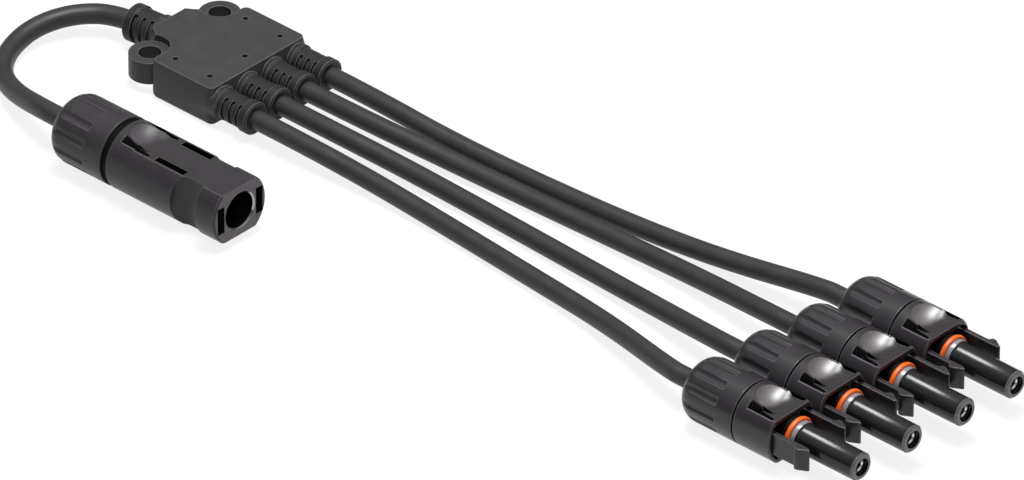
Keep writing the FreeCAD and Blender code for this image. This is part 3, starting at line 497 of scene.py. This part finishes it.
# Cables: the routes' points are the control points of smooth curves
def cable(name, node, diameter, points):
    curve = bpy.data.curves.new(name, "CURVE")
    curve.dimensions = "3D"
    spline = curve.splines.new("NURBS")
    spline.points.add(len(points) - 1)
    for point, spot in zip(spline.points, points):
        point.co = (spot[0] / MM, spot[1] / MM, spot[2] / MM, 1.0)
    spline.order_u = 3
    spline.use_endpoint_u = True
    spline.resolution_u = 24
    curve.bevel_depth = diameter / 2
    curve.bevel_resolution = 10
    curve.use_fill_caps = True
    curve.materials.append(SHEATH)
    cord = bpy.data.objects.new(name, curve)
    SCENE.collection.objects.link(cord)
    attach(cord, "splitter")
    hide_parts(node)


# Height of the cables in the block, place of the first output boot and pitch of the four
LEVEL = 6.4
FIRST_BOOT = -14.7
BOOT_PITCH = 9.8
# The output cables start inside their boots and leave them straight
SHEATH_START = 22.7
STRAIGHT_TO = 46.0
# Ahead of the back of an output cap nut: the straight run behind it. Every cable ends IN_NUT ahead of it.
BEHIND_NUT = (-9.5, -3.5)
IN_NUT = 11
# The input boot leans by 5 degrees about a pivot, from which the start of its cable is measured
PIVOT = Vector((-9.0, 0.0, LEVEL))
LEANING = Vector((-math.cos(math.radians(5.0)), -math.sin(math.radians(5.0)), 0.0))
MIDDLES = {
    1: ((72, -13.1, 4.0), (100, -14.1, 2.85), (135, -17.1, 2.85), (165, -21.5, 4.6)),
    2: ((72, -2.3, 4.0), (100, -2.0, 2.85), (136, -3.6, 2.85), (167, -6.8, 4.6)),
    3: ((72, 8.4, 4.0), (101, 10.6, 2.85), (137, 11.9, 2.85), (168, 11.0, 4.6)),
    4: ((72, 15.8, 4.0), (100, 17.7, 2.85), (134, 19.8, 2.85), (166, 21.9, 4.6)),
}


def output_lead(number):
    x, y = OUTPUTS[number]
    across = FIRST_BOOT + BOOT_PITCH * (number - 1)
    route = ((SHEATH_START, across, LEVEL), (STRAIGHT_TO, across, LEVEL)) + MIDDLES[number]
    route += tuple((x + ahead, y, OUT_AXIS) for ahead in BEHIND_NUT + (IN_NUT,))
    cable("output_lead_%d" % number, "output_cable_%d" % number, 0.0056,
          route)


def input_lead():
    route = (
        PIVOT + LEANING * 15.5, PIVOT + LEANING * 26.5, (-44.2, -9.9, 6.2), (-48.8, -20.4, 5.0),
        (-48.0, -31.3, 3.2), (-41.8, -41.0, 2.95), (-30.4, -47.6, 4.6), INPUT_AT - Vector((10.1, 0, 0)),
        INPUT_AT - Vector((3, 0, 0)), INPUT_AT + Vector((IN_NUT, 0, 0)))
    cable("input_lead", "input_cable", 0.0058, route)


# Floor and light
def grey(tone):
    return (tone, tone, tone, 1.0)


def floor():
    """Seen directly or mirrored it is white, so that only the object's shadow shows. Other light meets a
    middling grey."""
    half = 4
    mesh = bpy.data.meshes.new("floor")
    mesh.from_pydata(
        [(-half, -half, 0), (half, -half, 0), (half, half, 0), (-half, half, 0)], [], [(0, 1, 2, 3)])
    ground = bpy.data.objects.new("floor", mesh)
    SCENE.collection.objects.link(ground)
    n = Nodes("floor_white")
    place = n.add("TexCoord").outputs["Object"]
    clouds = n.add("TexNoise", {"Vector": place, "Scale": 3.0, "Detail": 2.0}).outputs[0]
    matt = n.add("BsdfDiffuse", {"Color": n.blend(clouds, grey(0.36), grey(0.38))})
    pale = n.add("BsdfDiffuse", {"Color": n.blend(clouds, grey(0.14), grey(0.16))})
    glow = n.add("Emission", {"Color": grey(1.0), "Strength": 0.84})
    rays = n.add("LightPath").outputs
    seen = n.math("MAXIMUM", rays["Is Camera Ray"], rays["Is Transmission Ray"])
    seen = n.math("MAXIMUM", seen, rays["Is Glossy Ray"])
    mesh.materials.append(n.finish(n.mix_shader(seen, matt, n.add("AddShader", {0: pale, 1: glow}))))


def softbox(name, spot, aim_at, size, power):
    data = bpy.data.lights.new(name, "AREA")
    data.shape = "RECTANGLE"
    data.size, data.size_y = size
    data.energy = power
    light = bpy.data.objects.new(name, data)
    SCENE.collection.objects.link(light)
    light.location = spot
    light.rotation_euler = (Vector(spot) - Vector(aim_at)).to_track_quat("Z", "Y").to_euler()


def studio(low, high, dim, bright):
    """A pale room, dim below the height low of the view's direction and bright above high."""
    world = bpy.data.worlds.new("studio")
    world.use_nodes = True
    tree = world.node_tree
    tree.nodes.clear()
    out = tree.nodes.new("ShaderNodeOutputWorld")
    back = tree.nodes.new("ShaderNodeBackground")
    place = tree.nodes.new("ShaderNodeTexCoord")
    split = tree.nodes.new("ShaderNodeSeparateXYZ")
    rise = tree.nodes.new("ShaderNodeMapRange")
    for i, value in enumerate((low, high, dim, bright)):
        rise.inputs[1 + i].default_value = value
    tree.links.new(place.outputs["Generated"], split.inputs[0])
    tree.links.new(split.outputs["Z"], rise.inputs[0])
    tree.links.new(rise.outputs[0], back.inputs["Strength"])
    back.inputs["Color"].default_value = grey(1.0)
    tree.links.new(back.outputs[0], out.inputs["Surface"])
    SCENE.world = world


aim(target=(0.1238, -0.0145, 0.0093), direction=(0.567, -0.613, 0.5505), distance=3.8, lens=500.3)
soften("junction_block", "splitter_body", "splitter", BLOCK_LOOKS, part_of=block_part)
CONNECTORS = {number: output_connector(number) for number in OUTPUTS}
INPUT_PIECES = input_connector()
dress_solids()
for number, pieces in CONNECTORS.items():
    output_lead(number)
input_lead()
floor()
studio(low=0.2, high=0.95, dim=0.08, bright=0.85)
softbox("top_softbox", (0.1, -0.02, 1.0), (0.1, -0.02, 0.0), size=(0.42, 0.36), power=11.0)
